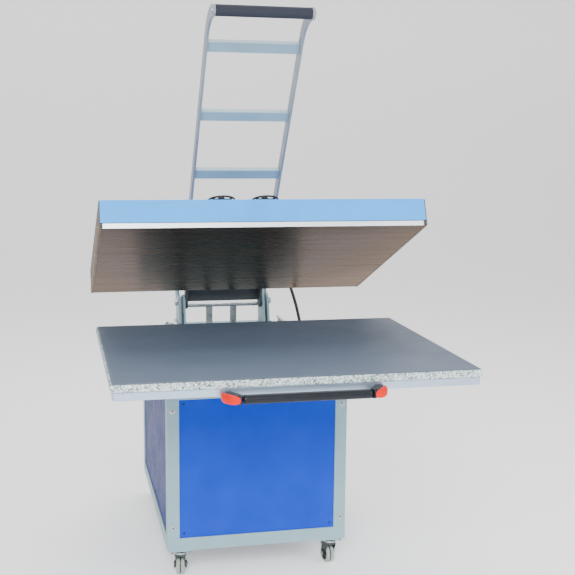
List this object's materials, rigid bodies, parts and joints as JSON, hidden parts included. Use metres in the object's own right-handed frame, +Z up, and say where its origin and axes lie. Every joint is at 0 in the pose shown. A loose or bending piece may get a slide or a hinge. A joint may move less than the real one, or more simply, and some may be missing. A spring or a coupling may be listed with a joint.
{
  "type": "heat press",
  "caption": "Large-format manual heat press: draw-out padded platen, tilting heated head, toggle lever, cabinet on casters.",
  "frame": {"origin": "on the floor under the middle of the press: X at the middle of its width, Y halfway from the drawer handle's front to the cabinet's rear", "axes": "+X to the operator's right, +Y to the rear, +Z up"},
  "size_m": [1.01, 1.5154, 1.8185],
  "materials": {
    "frame_paint": "semi-gloss light grey powder coat",
    "panel_blue": "gloss blue paint on sheet steel",
    "cover_blue": "light blue powder coat",
    "lever_grey": "semi-gloss grey paint",
    "plate_aluminium": "milled, lightly brushed",
    "heating_aluminium": "brushed along its width, faintly browned by heat",
    "zinc": "zinc plated",
    "caster_steel": "dark plated steel",
    "mat_cloth": "smooth coated cloth, satin slate grey",
    "pad_foam": "open speckled silicone foam",
    "grip_foam": "soft black foam",
    "black_plastic": "black moulded plastic",
    "strut_black": "gloss black enamel",
    "red_plastic": "red moulded plastic",
    "tread": "grey non-marking tread",
    "wool": "pale insulation board",
    "cable_black": "black flexible sleeve"
  },
  "bodies": {
    "stand": {"bottom_frame": "frame_paint", "top_frame": "frame_paint", "post_front_left": "frame_paint", "post_front_right": "frame_paint", "post_rear_left": "frame_paint", "post_rear_right": "frame_paint", "panel_front": "panel_blue", "panel_rear": "panel_blue", "panel_left": "panel_blue", "panel_right": "panel_blue", "panel_top": "frame_paint", "base_frame": "frame_paint", "control_box": "frame_paint", "tower_left": "frame_paint", "tower_right": "frame_paint", "rear_brace": "zinc", "slide_outer_left": "zinc", "slide_outer_right": "zinc", "head_cable": "cable_black"},
    "drawer": {"lower_plate": "plate_aluminium", "foam_pad": "pad_foam", "top_mat": "mat_cloth", "slide_inner_left": "zinc", "slide_inner_right": "zinc", "handle_tube": "black_plastic", "handle_end_left": "red_plastic", "handle_end_right": "red_plastic"},
    "middle_slide_left": {"slide_middle_left": "zinc"},
    "middle_slide_right": {"slide_middle_right": "zinc"},
    "head": {"heating_plate": "heating_aluminium", "insulation": "wool", "head_cover": "cover_blue", "arm_left": "frame_paint", "arm_right": "frame_paint", "pressure_beam": "frame_paint", "hinge_yoke": "frame_paint"},
    "pressure_wheel_left": {"handwheel_left": "black_plastic"},
    "pressure_wheel_right": {"handwheel_right": "black_plastic"},
    "lever": {"lever_bar_left": "lever_grey", "lever_bar_right": "lever_grey", "rung_lower": "lever_grey", "rung_middle": "lever_grey", "rung_upper": "lever_grey", "lever_grip": "grip_foam"},
    "toggle_link_left": {"link_left": "zinc"},
    "toggle_link_right": {"link_right": "zinc"},
    "strut_cylinder_left": {"strut_cylinder_left": "strut_black"},
    "strut_cylinder_right": {"strut_cylinder_right": "strut_black"},
    "strut_rod_left": {"strut_rod_left": "zinc"},
    "strut_rod_right": {"strut_rod_right": "zinc"},
    "fork_front_left": {"caster_fork_front_left": "caster_steel"},
    "wheel_front_left": {"caster_wheel_front_left": "tread"},
    "brake_left": {"caster_brake_left": "caster_steel"},
    "fork_front_right": {"caster_fork_front_right": "caster_steel"},
    "wheel_front_right": {"caster_wheel_front_right": "tread"},
    "brake_right": {"caster_brake_right": "caster_steel"},
    "fork_rear_left": {"caster_fork_rear_left": "caster_steel"},
    "wheel_rear_left": {"caster_wheel_rear_left": "tread"},
    "fork_rear_right": {"caster_fork_rear_right": "caster_steel"},
    "wheel_rear_right": {"caster_wheel_rear_right": "tread"}
  },
  "joints": [
    {"name": "head_hinge", "type": "hinge", "parent": "stand", "child": "head", "pos_m": [0, 0.61975, 0.793], "axis": [1, 0, 0], "range_deg": [0, 22.3], "stiffness_Nm_per_rad": 640, "springref_deg": -51.57, "deforming": ["head_cable"]},
    {"name": "lever_pivot", "type": "hinge", "parent": "head", "child": "lever", "pos_m": [0, 0.57495, 0.9488], "axis": [1, 0, 0], "range_deg": [0, 13.1]},
    {"name": "drawer_slide", "type": "slide", "parent": "stand", "child": "drawer", "axis": [0, 1, 0], "range_m": [0, 0.385]},
    {"name": "link_pin_left", "type": "hinge", "parent": "stand", "child": "toggle_link_left", "pos_m": [-0.1615, 0.72005, 0.9201], "axis": [-1, 0, 0], "range_deg": [0, 59.4]},
    {"name": "middle_slide_left", "type": "slide", "parent": "stand", "child": "middle_slide_left", "axis": [0, 1, 0], "range_m": [0, 0.1925]},
    {"name": "pressure_screw_left", "type": "hinge", "parent": "head", "child": "pressure_wheel_left", "pos_m": [-0.075, 0.20186, 1.21298], "axis": [0, 0.3795, 0.9252], "continuous": true},
    {"name": "strut_rear_pin_left", "type": "hinge", "parent": "stand", "child": "strut_cylinder_left", "pos_m": [-0.086, 0.74475, 0.93], "axis": [1, 0, 0], "range_deg": [0, 13.06]},
    {"name": "strut_front_pin_left", "type": "hinge", "parent": "head", "child": "strut_rod_left", "pos_m": [-0.086, 0.51908, 0.98236], "axis": [-1, 0, 0], "range_deg": [0, 9.24]},
    {"name": "link_pin_right", "type": "hinge", "parent": "stand", "child": "toggle_link_right", "pos_m": [0.1615, 0.72005, 0.9201], "axis": [-1, 0, 0], "range_deg": [0, 59.4]},
    {"name": "middle_slide_right", "type": "slide", "parent": "stand", "child": "middle_slide_right", "axis": [0, 1, 0], "range_m": [0, 0.1925]},
    {"name": "pressure_screw_right", "type": "hinge", "parent": "head", "child": "pressure_wheel_right", "pos_m": [0.075, 0.20186, 1.21298], "axis": [0, 0.3795, 0.9252], "continuous": true},
    {"name": "strut_rear_pin_right", "type": "hinge", "parent": "stand", "child": "strut_cylinder_right", "pos_m": [0.086, 0.74475, 0.93], "axis": [1, 0, 0], "range_deg": [0, 13.06]},
    {"name": "strut_front_pin_right", "type": "hinge", "parent": "head", "child": "strut_rod_right", "pos_m": [0.086, 0.51908, 0.98236], "axis": [-1, 0, 0], "range_deg": [0, 9.24]},
    {"name": "swivel_front_left", "type": "hinge", "parent": "stand", "child": "fork_front_left", "pos_m": [-0.2526, -0.06505, 0.08], "axis": [0, 0, 1], "continuous": true},
    {"name": "axle_front_left", "type": "hinge", "parent": "fork_front_left", "child": "wheel_front_left", "pos_m": [-0.24996, -0.04623, 0.032], "axis": [0.9903, -0.1392, 0], "continuous": true},
    {"name": "brake_pedal_left", "type": "hinge", "parent": "fork_front_left", "child": "brake_left", "pos_m": [-0.24843, -0.03534, 0.066], "axis": [-0.9903, 0.1392, 0], "range_deg": [0, 3]},
    {"name": "swivel_front_right", "type": "hinge", "parent": "stand", "child": "fork_front_right", "pos_m": [0.2526, -0.06505, 0.08], "axis": [0, 0, 1], "continuous": true},
    {"name": "axle_front_right", "type": "hinge", "parent": "fork_front_right", "child": "wheel_front_right", "pos_m": [0.24996, -0.04623, 0.032], "axis": [0.9903, 0.1392, 0], "continuous": true},
    {"name": "brake_pedal_right", "type": "hinge", "parent": "fork_front_right", "child": "brake_right", "pos_m": [0.24843, -0.03534, 0.066], "axis": [-0.9903, -0.1392, 0], "range_deg": [0, 3]},
    {"name": "swivel_rear_left", "type": "hinge", "parent": "stand", "child": "fork_rear_left", "pos_m": [-0.2526, 0.73155, 0.08], "axis": [0, 0, 1], "continuous": true},
    {"name": "axle_rear_left", "type": "hinge", "parent": "fork_rear_left", "child": "wheel_rear_left", "pos_m": [-0.24736, 0.71329, 0.032], "axis": [-0.9613, -0.2756, 0], "continuous": true},
    {"name": "swivel_rear_right", "type": "hinge", "parent": "stand", "child": "fork_rear_right", "pos_m": [0.2526, 0.73155, 0.08], "axis": [0, 0, 1], "continuous": true},
    {"name": "axle_rear_right", "type": "hinge", "parent": "fork_rear_right", "child": "wheel_rear_right", "pos_m": [0.24641, 0.71359, 0.032], "axis": [-0.9455, 0.3256, 0], "continuous": true}
  ],
  "couplings": [
    {"joint": "lever_pivot", "follows": "head_hinge", "ratio": 0.58744},
    {"joint": "link_pin_left", "follows": "head_hinge", "ratio": 2.6637},
    {"joint": "strut_rear_pin_left", "follows": "head_hinge", "ratio": 0.5858},
    {"joint": "strut_front_pin_left", "follows": "head_hinge", "ratio": 0.4142},
    {"joint": "middle_slide_left", "follows": "drawer_slide", "ratio": 0.5},
    {"joint": "link_pin_right", "follows": "head_hinge", "ratio": 2.6637},
    {"joint": "strut_rear_pin_right", "follows": "head_hinge", "ratio": 0.5858},
    {"joint": "strut_front_pin_right", "follows": "head_hinge", "ratio": 0.4142},
    {"joint": "middle_slide_right", "follows": "drawer_slide", "ratio": 0.5}
  ]
}
